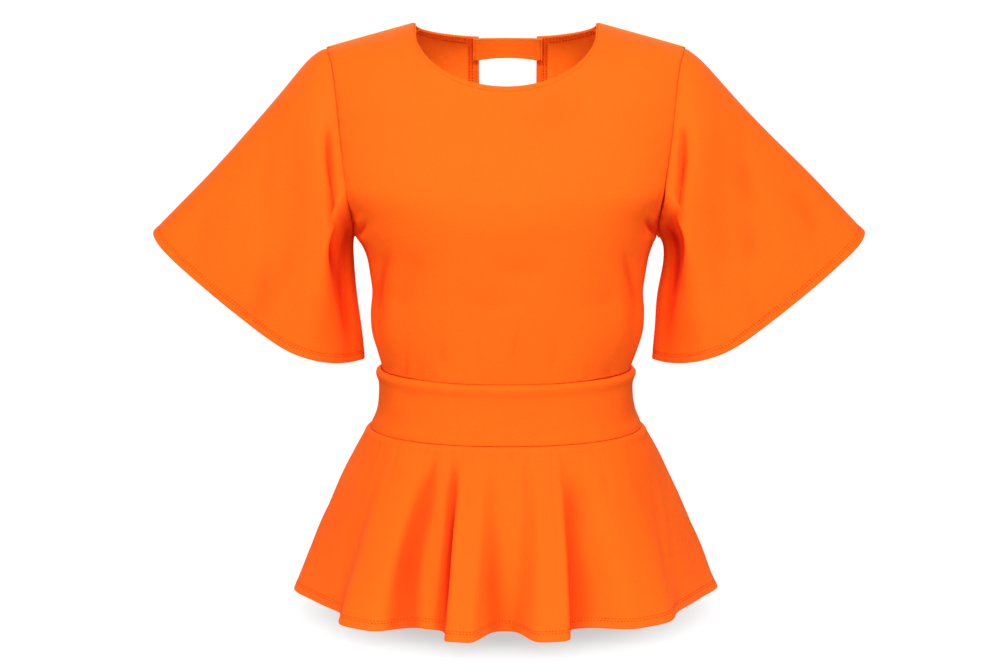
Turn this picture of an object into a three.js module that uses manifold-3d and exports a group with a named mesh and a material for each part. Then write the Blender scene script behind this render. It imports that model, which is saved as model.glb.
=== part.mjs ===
// A peplum blouse with flared half sleeves, filled out as when it is worn. Millimetres, +Z up.
// The front faces -Y and the wearer's left side is at +X.
// The origin lies midway between the two shoulder points, where the wearer's shoulders carry the blouse.
import * as THREE from "three";
import { mergeVertices } from "three/addons/utils/BufferGeometryUtils.js";
import Module from "manifold-3d";

// Cloth
const CLOTH = 1.6;
const HEM_CLOTH = 2.6;
const FACING_CLOTH = 1.0;
const SEAM_GAP = 0.4;
const LAY_GAP = 0.8;
const HEM_WIDTH = 11;
const HEM_STEP = 0.003;
const CLOTH_COLOUR = 0xfb6d12;
const CLOTH_ROUGHNESS = 0.85;

// Body of the blouse
const SEAM_PLANE_Y = 5;
const NECK_HALF = 94.5;
const NECK_POINT_Z = 25;
const FRONT_NECK_DROP = 64;
const BACK_NECK_DROP = 12;
const SHOULDER_HALF = 185;
const UNDERARM_Z = -193;
const WAIST_Z = -333.5;
const WAIST_DIP = 3;
const SECTION_POWER = 2.3;
const SHOULDER_ROUNDING = 75;
const NECK_RISE = 0.5;
const ARMHOLE_TURN = 0.6;
const ARMHOLE_TURN_Z = -140;
const NECK_SHARE = 0.5;
const SETTLE_FROM = 0.45;

// One row for each level: half the width at the side seam or armhole, the depths of front and back,
// and how far the level sits towards the wearer's left
const BODICE_LEVELS = [
  { z: -338, half: 132.6, front: 106.3, back: 74.6, shift: 0 },
  { z: -330, half: 133.4, front: 106.9, back: 73.8, shift: 0.4 },
  { z: -317, half: 137.6, front: 108.2, back: 73.2, shift: 1 },
  { z: -295, half: 144, front: 110.3, back: 73, shift: 1.4 },
  { z: -274, half: 145.5, front: 112.4, back: 73.3, shift: 1.5 },
  { z: -252, half: 143.9, front: 114.6, back: 74.4, shift: 1.6 },
  { z: -235, half: 145.8, front: 116.4, back: 75.6, shift: 1.7 },
  { z: -215, half: 148.8, front: 118.7, back: 77.5, shift: 1.9 },
  { z: -202, half: 153.6, front: 120.2, back: 78.8, shift: 1.4 },
  { z: -193, half: 159, front: 121.3, back: 79.7, shift: 0 },
  { z: -175, half: 158, front: 123.5, back: 81.5, shift: 0 },
  { z: -145, half: 160.9, front: 120.5, back: 84, shift: 0 },
  { z: -90, half: 168.3, front: 99, back: 83, shift: 0 },
  { z: -40, half: 174.4, front: 77.5, back: 74, shift: 0 },
  { z: -15, half: 179.5, front: 68, back: 68, shift: 0 },
  { z: 0, half: 185, front: 62, back: 63, shift: 0 },
  { z: 25, half: 189, front: 52, back: 52, shift: 0 },
];

// The waistband, from its lower seam to its upper one, with a soft roll under the upper seam
const BAND_LEVELS = [
  { z: -396.5, half: 144.8, front: 110.3, back: 83 },
  { z: -391, half: 142.6, front: 109.4, back: 81 },
  { z: -381, half: 138.4, front: 108.2, back: 78 },
  { z: -366, half: 136, front: 107.4, back: 76 },
  { z: -349, half: 135.5, front: 107.5, back: 75.6 },
  { z: -338.5, half: 138, front: 109.4, back: 77.4 },
  { z: -333.5, half: 134, front: 106.8, back: 74.6 },
];
const BAND_DIP = 2.5;

// Peplum
const PEPLUM_TOP = { half: 145, front: 110.8, back: 83.5 };
const PEPLUM_HEM = { half: 212, front: 152, back: 146 };
const PEPLUM_TOP_Z = -396.5;
const PEPLUM_HEM_Z = -578;
const FLARE_POWER = 0.79;
const FOLD_GROWTH = 1.15;
const SEAM_ROLL = 1;
const SEAM_ROLL_REACH = 9;

// One row for each fold: its angle in degrees from the centre front, towards the wearer's left,
// at the waist and at the hem, half its width in degrees, how far it stands out at the hem,
// and how sharply its flanks turn
const PEPLUM_FOLDS = [
  { waist: -15, hem: -14.1, half: 7, rise: 40, edge: 6 },
  { waist: 20, hem: 13.6, half: 7.1, rise: 38.5, edge: 6 },
  { waist: -29, hem: -27, half: 3, rise: 4, edge: 4 },
  { waist: -47, hem: -46, half: 10, rise: 34, edge: 5 },
  { waist: 50, hem: 47.2, half: 11.8, rise: 25, edge: 4.5 },
  { waist: -92, hem: -93, half: 12.5, rise: 18, edge: 4 },
  { waist: 93, hem: 96, half: 12, rise: 19, edge: 4 },
  { waist: -124, hem: -127, half: 9, rise: 30, edge: 4 },
  { waist: 126, hem: 129, half: 10, rise: 27, edge: 4 },
  { waist: -151, hem: -154, half: 8, rise: 35, edge: 4 },
  { waist: 155, hem: 156, half: 7.5, rise: 33, edge: 4 },
  { waist: -178, hem: -179, half: 9, rise: 28, edge: 4 },
];

// Sleeves: one row for each, with the outer tip and the inner corner of its hem, how far its cap
// stands up beside the shoulder, and how far its inner side hangs clear of the underarm
const SLEEVES = [
  { name: "right_sleeve", side: -1, tipX: 371, tipZ: -190, innerX: 152, innerZ: -326.5, cap: 6.3, clear: 3 },
  { name: "left_sleeve", side: 1, tipX: 378, tipZ: -189, innerX: 156.5, innerZ: -326.5, cap: 3.8, clear: 8 },
];
const SLEEVE_LENGTH = 190;
const BACK_SHARE = 0.9;
const CAP_PUFF = 14;
const CAP_PUFF_AT = 0.16;
const CAP_RISE_AT = 0.1;
const CAP_LEAN = 0.7;
const CLEAR_AT = 0.16;

// One row for each direction round the sleeve, in degrees from its top line over the front:
// how far the hem stands forward there, and how far it hangs below the line from tip to inner corner
const SLEEVE_HEM = [
  { angle: 0, forward: 0, drop: 0 },
  { angle: 15, forward: 15, drop: 3 },
  { angle: 30, forward: 27, drop: 7 },
  { angle: 60, forward: 47, drop: 13.5 },
  { angle: 90, forward: 63, drop: 20 },
  { angle: 106, forward: 71, drop: 22 },
  { angle: 119, forward: 75, drop: 21 },
  { angle: 132, forward: 72, drop: 16 },
  { angle: 144, forward: 56, drop: 11 },
  { angle: 156, forward: 31, drop: 6.5 },
  { angle: 168, forward: 11, drop: 2 },
  { angle: 180, forward: 0, drop: 0 },
];

// Opening down the back, and the strap that closes it at the neck
const SLOT_CENTRE = 2;
const SLOT_HALF = 31;
const SLOT_BOTTOM_Z = -140;
const SLOT_CUT_TOP_Z = 50;
const SLOT_CUT_DEPTH = 200;
const SLOT_FACING_WIDTH = 12;
const SLOT_FACING_INSET = 0.5;
const NECK_FACING_INSET = 0.8;
const NECK_FACING_WIDTH = 7;
const NECK_FACING_END = 0.36 * Math.PI;
const STRAP_HALF = 38;
const STRAP_TOP_Z = 14.5;
const STRAP_WIDTH = 25;
const STRAP_ARCH = 3;

// How finely each panel is divided: counts, or shares of its length from one seam to the other
const BODICE_COLUMNS = 28;
const BODICE_ROWS = 22;
const BODICE_ROW_CROWDING = 1.25;
const SLEEVE_COLUMNS = 32;
const SLEEVE_ROWS = [0.82, 0.68, 0.54, 0.42, 0.31, 0.21, 0.13, 0.06, 0];
const BAND_COLUMNS = 20;
const BAND_ROWS = [0, 0.1, 0.26, 0.5, 0.76, 0.92, 1];
const PEPLUM_FRONT_COLUMNS = 64;
const PEPLUM_BACK_COLUMNS = 54;
const PEPLUM_ROWS = [0.8, 0.66, 0.52, 0.38, 0.25, 0.14, 0.05, 0.022, 0];
const SLOT_SIDE_STEPS = 12;
const SLOT_ROUND_STEPS = 10;
const NECK_FACING_STEPS = 7;
const STRAP_COLUMNS = 12;
const STRAP_ROWS = 3;
const HEM_SEARCH_STEPS = 20;

const wasm = await Module();
wasm.setup();

const radians = THREE.MathUtils.degToRad;
const { clamp, lerp, smoothstep } = THREE.MathUtils;

// A smooth curve through one column of a table whose rows rise in the key column
function along(rows, key, column, at) {
  const t = clamp(at, rows[0][key], rows[rows.length - 1][key]);
  let i = 0;
  while (i < rows.length - 2 && rows[i + 1][key] < t) i += 1;
  const slope = (j) => {
    const low = rows[Math.max(j - 1, 0)];
    const high = rows[Math.min(j + 1, rows.length - 1)];
    return (high[column] - low[column]) / (high[key] - low[key]);
  };
  const span = rows[i + 1][key] - rows[i][key];
  const s = (t - rows[i][key]) / span;
  const s2 = s * s;
  const s3 = s2 * s;
  return (
    rows[i][column] * (2 * s3 - 3 * s2 + 1) +
    slope(i) * span * (s3 - 2 * s2 + s) +
    rows[i + 1][column] * (3 * s2 - 2 * s3) +
    slope(i + 1) * span * (s3 - s2)
  );
}

const bodiceAt = (column, z) => along(BODICE_LEVELS, "z", column, z);
const bandAt = (column, z) => along(BAND_LEVELS, "z", column, z);

// How much of its depth a section keeps at a share of its half-width
function sectionDepth(share) {
  return Math.pow(Math.max(0, 1 - Math.pow(Math.min(Math.abs(share), 1), SECTION_POWER)), 1 / SECTION_POWER);
}

// The depth left at the armhole edge, as a share of the depth at the centre; none at the side seam
function edgeShare(z) {
  if (z <= UNDERARM_Z) return 0;
  const below = clamp((ARMHOLE_TURN_Z - z) / (ARMHOLE_TURN_Z - UNDERARM_Z), 0, 1);
  return ARMHOLE_TURN * (1 - below * below);
}

// The half-width that the section would reach if the armhole did not cut it
function fullHalf(z) {
  return bodiceAt("half", z) / sectionDepth(edgeShare(z));
}

// Height of the shoulder line over a point, running on up the neck inside the neck points
function shoulderLine(x) {
  const out = Math.abs(x) - NECK_HALF;
  if (out < 0) return NECK_POINT_Z - out * NECK_RISE;
  return NECK_POINT_Z * (1 - out / (SHOULDER_HALF - NECK_HALF));
}

function shoulderArch(x, z) {
  const below = clamp((shoulderLine(x) - z) / SHOULDER_ROUNDING, 0, 1);
  return Math.sqrt(1 - (1 - below) * (1 - below));
}

// Depth of the body form at a point seen from the front; face is "front" or "back"
function bodiceY(face, x, z) {
  const share = (x - bodiceAt("shift", z)) / fullHalf(z);
  const depth = bodiceAt(face, z) * sectionDepth(share) * shoulderArch(x, z);
  return face === "front" ? SEAM_PLANE_Y - SEAM_GAP / 2 - depth : SEAM_PLANE_Y + SEAM_GAP / 2 + depth;
}

// How much of its dip a waist seam has at a distance to the side
function dipShare(x, half) {
  return Math.max(0, 1 - (x * x) / (half * half));
}

function waistSeamZ(x) {
  return WAIST_Z - WAIST_DIP * dipShare(x, BAND_LEVELS[BAND_LEVELS.length - 1].half);
}

// Upper edge of a bodice panel: the neckline, then the shoulder seam
function bodiceTop(face, u) {
  const share = Math.abs(u) / NECK_SHARE;
  if (share <= 1) {
    const turn = (share * Math.PI) / 2;
    const drop = face === "front" ? FRONT_NECK_DROP : BACK_NECK_DROP;
    return { x: Math.sign(u) * NECK_HALF * Math.sin(turn), z: NECK_POINT_Z - drop * Math.cos(turn) };
  }
  const out = (Math.abs(u) - NECK_SHARE) / (1 - NECK_SHARE);
  const x = lerp(NECK_HALF, SHOULDER_HALF, out);
  return { x: Math.sign(u) * x, z: shoulderLine(x) };
}

// A point of a bodice panel: u from side to side, v from the waist seam to the upper edge
function bodicePoint(face, u, v) {
  const top = bodiceTop(face, u);
  const waistX = BAND_LEVELS[BAND_LEVELS.length - 1].half * Math.sin((u * Math.PI) / 2);
  const z = lerp(waistSeamZ(waistX) + SEAM_GAP / 2, top.z, v);
  const edgeAngle = Math.asin(sectionDepth(edgeShare(z)));
  const sectionX = bodiceAt("shift", z) + fullHalf(z) * Math.sin(u * edgeAngle);
  const settle = smoothstep(v, SETTLE_FROM, 1);
  const inside = bodiceAt("half", z) / lerp(bodiceAt("half", z), SHOULDER_HALF, settle);
  const x = v === 1 ? top.x : lerp(sectionX, top.x, settle) * lerp(1, inside, Math.pow(u, 4));
  return new THREE.Vector3(x, bodiceY(face, x, z), z);
}

function gridOf(rows, columns, pointAt) {
  return rows.map((v) => columns.map((u) => pointAt(u, v)));
}

function evenSteps(from, to, count) {
  return Array.from({ length: count + 1 }, (_, i) => lerp(from, to, i / count));
}

// Outward normals of a grid whose columns and rows turn right-handed about them
function normalsOf(grid, closed) {
  const last = grid.length - 1;
  const width = grid[0].length;
  return grid.map((row, r) =>
    row.map((_, c) => {
      const left = closed ? (c - 1 + width) % width : Math.max(c - 1, 0);
      const right = closed ? (c + 1) % width : Math.min(c + 1, width - 1);
      const across = grid[r][right].clone().sub(grid[r][left]);
      const up = grid[Math.min(r + 1, last)][c].clone().sub(grid[Math.max(r - 1, 0)][c]);
      return across.cross(up).normalize();
    }),
  );
}

// Keeps the cloth's edge square to a seam plane by taking that direction out of a normal
function squareTo(normal, axis) {
  normal[axis] = 0;
  return normal.normalize();
}

function movedIn(grid, normals, depthAt) {
  return grid.map((row, r) => row.map((p, c) => p.clone().addScaledVector(normals[r][c], -depthAt(r, c))));
}

// A closed wall of cloth between an outer and an inner grid of points
function wallGeometry(outer, inner, closed) {
  const rows = outer.length;
  const width = outer[0].length;
  const positions = [];
  const index = [];
  for (const grid of [outer, inner]) {
    for (const row of grid) {
      for (const p of row) positions.push(p.x, p.y, p.z);
    }
  }
  const at = (layer, r, c) => layer * rows * width + r * width + (c % width);
  const quad = (a, b, c, d) => index.push(a, b, c, a, c, d);
  const spans = closed ? width : width - 1;
  const top = rows - 1;
  for (let c = 0; c < spans; c += 1) {
    for (let r = 0; r < top; r += 1) {
      quad(at(0, r, c), at(0, r, c + 1), at(0, r + 1, c + 1), at(0, r + 1, c));
      quad(at(1, r, c), at(1, r + 1, c), at(1, r + 1, c + 1), at(1, r, c + 1));
    }
    quad(at(1, 0, c), at(1, 0, c + 1), at(0, 0, c + 1), at(0, 0, c));
    quad(at(0, top, c), at(0, top, c + 1), at(1, top, c + 1), at(1, top, c));
  }
  if (!closed) {
    const end = width - 1;
    for (let r = 0; r < top; r += 1) {
      quad(at(0, r, 0), at(0, r + 1, 0), at(1, r + 1, 0), at(1, r, 0));
      quad(at(1, r, end), at(1, r + 1, end), at(0, r + 1, end), at(0, r, end));
    }
  }
  const geometry = new THREE.BufferGeometry();
  geometry.setAttribute("position", new THREE.Float32BufferAttribute(positions, 3));
  geometry.setIndex(index);
  return geometry;
}

function solidOf(geometry) {
  const bare = geometry.clone();
  bare.deleteAttribute("normal");
  bare.deleteAttribute("uv");
  const merged = mergeVertices(bare, 1e-3);
  return new wasm.Manifold(
    new wasm.Mesh({
      numProp: 3,
      vertProperties: new Float32Array(merged.attributes.position.array),
      triVerts: new Uint32Array(merged.index.array),
    }),
  );
}

function geometryOf(solid) {
  const mesh = solid.getMesh();
  const geometry = new THREE.BufferGeometry();
  geometry.setAttribute("position", new THREE.BufferAttribute(mesh.vertProperties, 3));
  geometry.setIndex(new THREE.BufferAttribute(mesh.triVerts, 1));
  return geometry;
}

function piece(name, geometry) {
  geometry.computeVertexNormals();
  const cloth = new THREE.MeshStandardMaterial({ color: CLOTH_COLOUR, roughness: CLOTH_ROUGHNESS, metalness: 0 });
  const mesh = new THREE.Mesh(geometry, cloth);
  mesh.name = name;
  return mesh;
}

// Front or back bodice, from the waist seam to the shoulders; the back runs from +X to -X
function bodicePanel(face) {
  const sense = face === "front" ? 1 : -1;
  const rows = evenSteps(0, 1, BODICE_ROWS).map((v) => 1 - Math.pow(1 - v, BODICE_ROW_CROWDING));
  const grid = gridOf(rows, evenSteps(-1, 1, BODICE_COLUMNS), (u, v) => bodicePoint(face, sense * u, v));
  const normals = normalsOf(grid, false);
  const last = rows.length - 1;
  normals[0].forEach((n) => squareTo(n, "z"));
  normals.forEach((row, r) => {
    for (const c of [0, BODICE_COLUMNS]) {
      if (grid[r][c].z <= UNDERARM_Z + 1) squareTo(row[c], "y");
    }
  });
  normals[last].forEach((n, c) => {
    if (Math.abs(grid[last][c].x) >= NECK_HALF - 1) squareTo(n, "y");
  });
  return wallGeometry(grid, movedIn(grid, normals, () => CLOTH), false);
}

// The round-ended slot cut down the back from above the neckline
function slotCutter() {
  const low = SLOT_BOTTOM_Z + SLOT_HALF;
  const outline = new THREE.Shape();
  outline.moveTo(SLOT_CENTRE + SLOT_HALF, SLOT_CUT_TOP_Z);
  outline.lineTo(SLOT_CENTRE - SLOT_HALF, SLOT_CUT_TOP_Z);
  outline.lineTo(SLOT_CENTRE - SLOT_HALF, low);
  outline.absarc(SLOT_CENTRE, low, SLOT_HALF, Math.PI, 2 * Math.PI, false);
  const cutter = new THREE.ExtrudeGeometry(outline, {
    depth: SLOT_CUT_DEPTH,
    bevelEnabled: false,
    curveSegments: SLOT_ROUND_STEPS,
  });
  cutter.rotateX(Math.PI / 2);
  cutter.translate(0, SLOT_CUT_DEPTH, 0);
  return solidOf(cutter);
}

// Outward normal of the back panel at a point seen from the front
function backNormal(x, z) {
  const step = 0.5;
  const slopeX = (bodiceY("back", x + step, z) - bodiceY("back", x - step, z)) / (2 * step);
  const slopeZ = (bodiceY("back", x, z + step) - bodiceY("back", x, z - step)) / (2 * step);
  return new THREE.Vector3(-slopeX, 1, -slopeZ).normalize();
}

// A strip that lies inside the back panel: its grid gives places seen from the front
function insideBack(places, depth, thickness) {
  const lay = (move) =>
    places.map((row) =>
      row.map((p) =>
        new THREE.Vector3(p.x, bodiceY("back", p.x, p.z), p.z).addScaledVector(backNormal(p.x, p.z), -move),
      ),
    );
  return wallGeometry(lay(depth), lay(depth + thickness), false);
}

// Facing round the slot: down one edge, round the bottom and up the other
function slotFacing() {
  const low = SLOT_BOTTOM_Z + SLOT_HALF;
  const topZ = STRAP_TOP_Z - 1;
  const sides = evenSteps(0, 1, SLOT_SIDE_STEPS);
  const spine = [
    ...sides.map((s) => ({ z: lerp(topZ, low, s), turn: 0 })),
    ...evenSteps(0, Math.PI, SLOT_ROUND_STEPS).slice(1, -1).map((turn) => ({ z: low, turn })),
    ...sides.map((s) => ({ z: lerp(low, topZ, s), turn: Math.PI })),
  ];
  const places = [SLOT_HALF + SLOT_FACING_WIDTH, SLOT_HALF + SLOT_FACING_INSET].map((out) =>
    spine.map((p) => ({
      x: SLOT_CENTRE + out * Math.cos(p.turn),
      z: p.z - out * Math.sin(p.turn),
    })),
  );
  return insideBack(places, CLOTH + LAY_GAP, FACING_CLOTH);
}

// Turned neck edge inside the back, from the neck point to the slot
function backNeckFacing(side) {
  const slotX = SLOT_HALF + SLOT_FACING_WIDTH + 1 + side * SLOT_CENTRE;
  const places = [NECK_FACING_WIDTH, NECK_FACING_INSET].map((below) => {
    const reach = NECK_HALF + below;
    return evenSteps(NECK_FACING_END, Math.asin(slotX / reach), NECK_FACING_STEPS).map((turn) => ({
      x: side * reach * Math.sin(turn),
      z: NECK_POINT_Z - (BACK_NECK_DROP + below) * Math.cos(turn),
    }));
  });
  return insideBack(side < 0 ? places.reverse() : places, CLOTH + LAY_GAP, FACING_CLOTH);
}

// Strap across the top of the slot, its ends lying over the facing
function neckStrap() {
  const columns = evenSteps(SLOT_CENTRE + STRAP_HALF, SLOT_CENTRE - STRAP_HALF, STRAP_COLUMNS);
  const places = evenSteps(0, 1, STRAP_ROWS).map((v) =>
    columns.map((x) => {
      const share = (x - SLOT_CENTRE) / STRAP_HALF;
      const arch = STRAP_ARCH * (1 - share * share) * (1 - v);
      return { x, z: STRAP_TOP_Z - STRAP_WIDTH * (1 - v) + arch };
    }),
  );
  return insideBack(places, CLOTH + FACING_CLOTH + 2 * LAY_GAP, CLOTH);
}

// Radius of an oval section at an angle from the centre front
function ovalRadius(oval, angle, power) {
  const depth = Math.cos(angle) > 0 ? oval.front : oval.back;
  const wide = Math.pow(Math.abs(Math.sin(angle)) / oval.half, power);
  const deep = Math.pow(Math.abs(Math.cos(angle)) / depth, power);
  return Math.pow(wide + deep, -1 / power);
}

function aroundBody(angle, radius, z) {
  const shift = Math.cos(angle) > 0 ? -SEAM_GAP / 2 : SEAM_GAP / 2;
  return new THREE.Vector3(radius * Math.sin(angle), SEAM_PLANE_Y + shift - radius * Math.cos(angle), z);
}

// Normals of a half tube whose edges stay square to the waist seams and the side seams
function halfNormals(grid) {
  const normals = normalsOf(grid, false);
  for (const r of [0, grid.length - 1]) normals[r].forEach((n) => squareTo(n, "z"));
  normals.forEach((row) => [0, row.length - 1].forEach((c) => squareTo(row[c], "y")));
  return normals;
}

// Half of the waistband; the angles run towards the wearer's left over the front, or back over the rear
function bandPanel(angles) {
  const grid = gridOf(BAND_ROWS, angles, (angle, v) => {
    const oval = {};
    const z = lerp(PEPLUM_TOP_Z, WAIST_Z, v);
    for (const column of ["half", "front", "back"]) oval[column] = bandAt(column, z);
    const radius = ovalRadius(oval, angle, SECTION_POWER);
    const dip = lerp(BAND_DIP, WAIST_DIP, v) * dipShare(radius * Math.sin(angle), oval.half);
    return aroundBody(angle, radius, z - dip + lerp(SEAM_GAP / 2, -SEAM_GAP / 2, v));
  });
  return wallGeometry(grid, movedIn(grid, halfNormals(grid), () => CLOTH), false);
}

// How far the folds stand out from the plain flare, with all angles in degrees
function foldRise(degrees, t) {
  let rise = 0;
  for (const fold of PEPLUM_FOLDS) {
    const centre = lerp(fold.waist, fold.hem, t);
    const away = Math.abs(((degrees - centre + 540) % 360) - 180) / fold.half;
    rise += fold.rise / (1 + Math.pow(away, fold.edge));
  }
  return rise * Math.pow(t, FOLD_GROWTH);
}

function peplumPoint(angle, t) {
  const flare = Math.pow(t, FLARE_POWER);
  const plain = lerp(ovalRadius(PEPLUM_TOP, angle, SECTION_POWER), ovalRadius(PEPLUM_HEM, angle, 2), flare);
  const down = (PEPLUM_TOP_Z - PEPLUM_HEM_Z) * t;
  const roll = SEAM_ROLL * Math.sin(Math.PI * Math.min(down / SEAM_ROLL_REACH, 1));
  const radius = plain + foldRise(THREE.MathUtils.radToDeg(angle), t) + roll;
  const dip = BAND_DIP * dipShare(radius * Math.sin(angle), PEPLUM_TOP.half) * (1 - t);
  return aroundBody(angle, radius, PEPLUM_TOP_Z - down - dip - (SEAM_GAP / 2) * (1 - t));
}

// Angles that divide the folded hem into steps of even length
function evenHemAngles(from, to, count) {
  const fine = evenSteps(from, to, count * HEM_SEARCH_STEPS);
  const reach = [0];
  for (let i = 1; i < fine.length; i += 1) {
    reach.push(reach[i - 1] + peplumPoint(fine[i], 1).distanceTo(peplumPoint(fine[i - 1], 1)));
  }
  const total = reach[reach.length - 1];
  return evenSteps(0, total, count).map((length, step) => {
    if (step === 0) return from;
    if (step === count) return to;
    return fine[reach.findIndex((r) => r >= length)];
  });
}

// Thickness at each row of a hemmed panel; its first two rows are in the turned hem
function hemmedDepth(row) {
  return row < 2 ? HEM_CLOTH : CLOTH;
}

function peplumPanel(from, to, columns) {
  const length = PEPLUM_TOP_Z - PEPLUM_HEM_Z;
  const turned = 1 - HEM_WIDTH / length;
  const rows = [1, turned + HEM_STEP, turned - HEM_STEP, ...PEPLUM_ROWS];
  const grid = gridOf(rows, evenHemAngles(from, to, columns), peplumPoint);
  return wallGeometry(grid, movedIn(grid, halfNormals(grid), hemmedDepth), false);
}

// Point of the armhole; the angle starts at the shoulder and runs down the front
function armholePoint(angle) {
  const z = (UNDERARM_Z / 2) * (1 - Math.cos(angle));
  const x = bodiceAt("half", z);
  const face = Math.sin(angle) >= 0 ? "front" : "back";
  const onTopOrUnder = Math.abs(Math.sin(angle)) < 1e-6;
  return { x, z, depth: onTopOrUnder ? 0 : Math.abs(bodiceY(face, x, z) - SEAM_PLANE_Y) };
}

// Rises from 0 at a sleeve's top to 1 at a share of its length, then dies away towards the hem
function swell(t, at) {
  return (t / at) * Math.exp(1 - t / at);
}

function sleevePoint(sleeve, angle, t) {
  const start = armholePoint(angle);
  const folded = THREE.MathUtils.radToDeg(angle <= Math.PI ? angle : 2 * Math.PI - angle);
  const share = angle <= Math.PI ? 1 : BACK_SHARE;
  const forward = along(SLEEVE_HEM, "angle", "forward", folded) * share;
  const drop = along(SLEEVE_HEM, "angle", "drop", folded);
  const run = new THREE.Vector2(sleeve.innerX - sleeve.tipX, sleeve.innerZ - sleeve.tipZ);
  const halfRun = run.clone().multiplyScalar(0.5 * -Math.cos(angle));
  const below = new THREE.Vector2(run.y, -run.x).normalize().multiplyScalar(drop);
  const endX = (sleeve.innerX + sleeve.tipX) / 2 + halfRun.x - below.x;
  const endZ = (sleeve.innerZ + sleeve.tipZ) / 2 + halfRun.y - Math.abs(below.y);
  const puff = CAP_PUFF * Math.pow(Math.sin(angle) * swell(t, CAP_PUFF_AT), 2);
  const rise = CAP_LEAN * sleeve.cap * Math.pow(Math.max(Math.cos(angle), 0), 2) * swell(t, CAP_RISE_AT);
  const clear = sleeve.clear * Math.pow(Math.max(-Math.cos(angle), 0), 2) * swell(t, CLEAR_AT);
  const x = lerp(start.x + SEAM_GAP, endX, t) + rise + clear;
  const z = lerp(start.z, endZ, t) + rise;
  const out = lerp(start.depth, forward, t) + puff;
  return new THREE.Vector3(sleeve.side * x, SEAM_PLANE_Y - Math.sign(Math.PI - angle) * out, z);
}

function sleeveTube(sleeve) {
  const turned = 1 - HEM_WIDTH / SLEEVE_LENGTH;
  const rows = [1, turned + HEM_STEP, turned - HEM_STEP, ...SLEEVE_ROWS];
  const angles = evenSteps(0, 2 * Math.PI, SLEEVE_COLUMNS).slice(0, -1);
  const order = sleeve.side < 0 ? angles : [...angles].reverse();
  const grid = gridOf(rows, order, (angle, t) => sleevePoint(sleeve, angle, t));
  const normals = normalsOf(grid, true);
  const last = rows.length - 1;
  for (const n of normals[last]) {
    if (n.x * sleeve.side > 0) squareTo(n, "x");
  }
  return wallGeometry(grid, movedIn(grid, normals, hemmedDepth), true);
}

const quarter = Math.PI / 2;
const blouse = new THREE.Group();
blouse.add(piece("front_bodice", bodicePanel("front")));
blouse.add(piece("back_bodice", geometryOf(solidOf(bodicePanel("back")).subtract(slotCutter()))));
blouse.add(piece("back_slot_facing", slotFacing()));
blouse.add(piece("back_neck_facing_right", backNeckFacing(-1)));
blouse.add(piece("back_neck_facing_left", backNeckFacing(1)));
blouse.add(piece("neck_strap", neckStrap()));
for (const sleeve of SLEEVES) blouse.add(piece(sleeve.name, sleeveTube(sleeve)));
blouse.add(piece("waistband_front", bandPanel(evenSteps(-quarter, quarter, BAND_COLUMNS))));
blouse.add(piece("waistband_back", bandPanel(evenSteps(quarter, 3 * quarter, BAND_COLUMNS))));
blouse.add(piece("peplum_front", peplumPanel(-quarter, quarter, PEPLUM_FRONT_COLUMNS)));
blouse.add(piece("peplum_back", peplumPanel(quarter, 3 * quarter, PEPLUM_BACK_COLUMNS)));

export default blouse;
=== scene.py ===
"""An orange crepe blouse with flared half sleeves and a peplum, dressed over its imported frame.

Sizes are in millimetres up to the point where a mesh is made. The front faces -Y, the wearer's left
is at +X, and the origin lies midway between the shoulder points.
"""
import math

import bpy
import numpy as np
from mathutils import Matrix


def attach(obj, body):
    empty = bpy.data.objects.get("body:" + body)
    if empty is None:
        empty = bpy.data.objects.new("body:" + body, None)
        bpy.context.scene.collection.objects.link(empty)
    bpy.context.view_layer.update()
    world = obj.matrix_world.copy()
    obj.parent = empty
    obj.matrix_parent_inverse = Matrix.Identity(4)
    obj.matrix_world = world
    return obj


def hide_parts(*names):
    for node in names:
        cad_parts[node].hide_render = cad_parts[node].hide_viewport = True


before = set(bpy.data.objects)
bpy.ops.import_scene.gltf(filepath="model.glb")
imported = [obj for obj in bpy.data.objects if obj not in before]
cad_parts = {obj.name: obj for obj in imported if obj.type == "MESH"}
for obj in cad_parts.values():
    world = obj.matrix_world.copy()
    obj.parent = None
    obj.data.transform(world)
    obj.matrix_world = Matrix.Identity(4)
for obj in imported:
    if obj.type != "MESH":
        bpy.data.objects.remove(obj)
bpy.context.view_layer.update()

MM = 0.001

# Cloth
CLOTH = 1.5
HEM_CLOTH = 2.4
HEM_WIDTH = 11
SEAM_ROUNDING = 0.3
SEAM_PLANE_Y = 5
QUARTER = math.pi / 2

# Stands for a distance where there is no edge
NO_EDGE = 1000

# How much of its radius a rounded edge drops, so that the rim keeps a little width
ROUNDING_SHARE = 0.94

# Rows of stitches, by their distance from the edge of the cloth
NECK_ROW = 5.6
CUFF_ROWS = (7, 9.4)
PEPLUM_ROWS = (8, 10.4)
GROOVE_WIDTH = 0.75
ROW_LIFT = 0.02

# Body of the blouse
NECK_HALF = 94.5
NECK_POINT_Z = 25
FRONT_NECK_DROP = 64
BACK_NECK_DROP = 12
SHOULDER_HALF = 185
UNDERARM_Z = -193
WAIST_Z = -333.5
WAIST_DIP = 3
SECTION_POWER = 2.3
SHOULDER_ROUNDING = 75
NECK_RISE = 0.5
ARMHOLE_TURN = 0.6
ARMHOLE_TURN_Z = -140
NECK_SHARE = 0.5
SETTLE_FROM = 0.45


def table(names, *rows):
    """Columns of a short table, by name."""
    return dict(zip(names.split(), np.array(rows, float).T))


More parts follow.
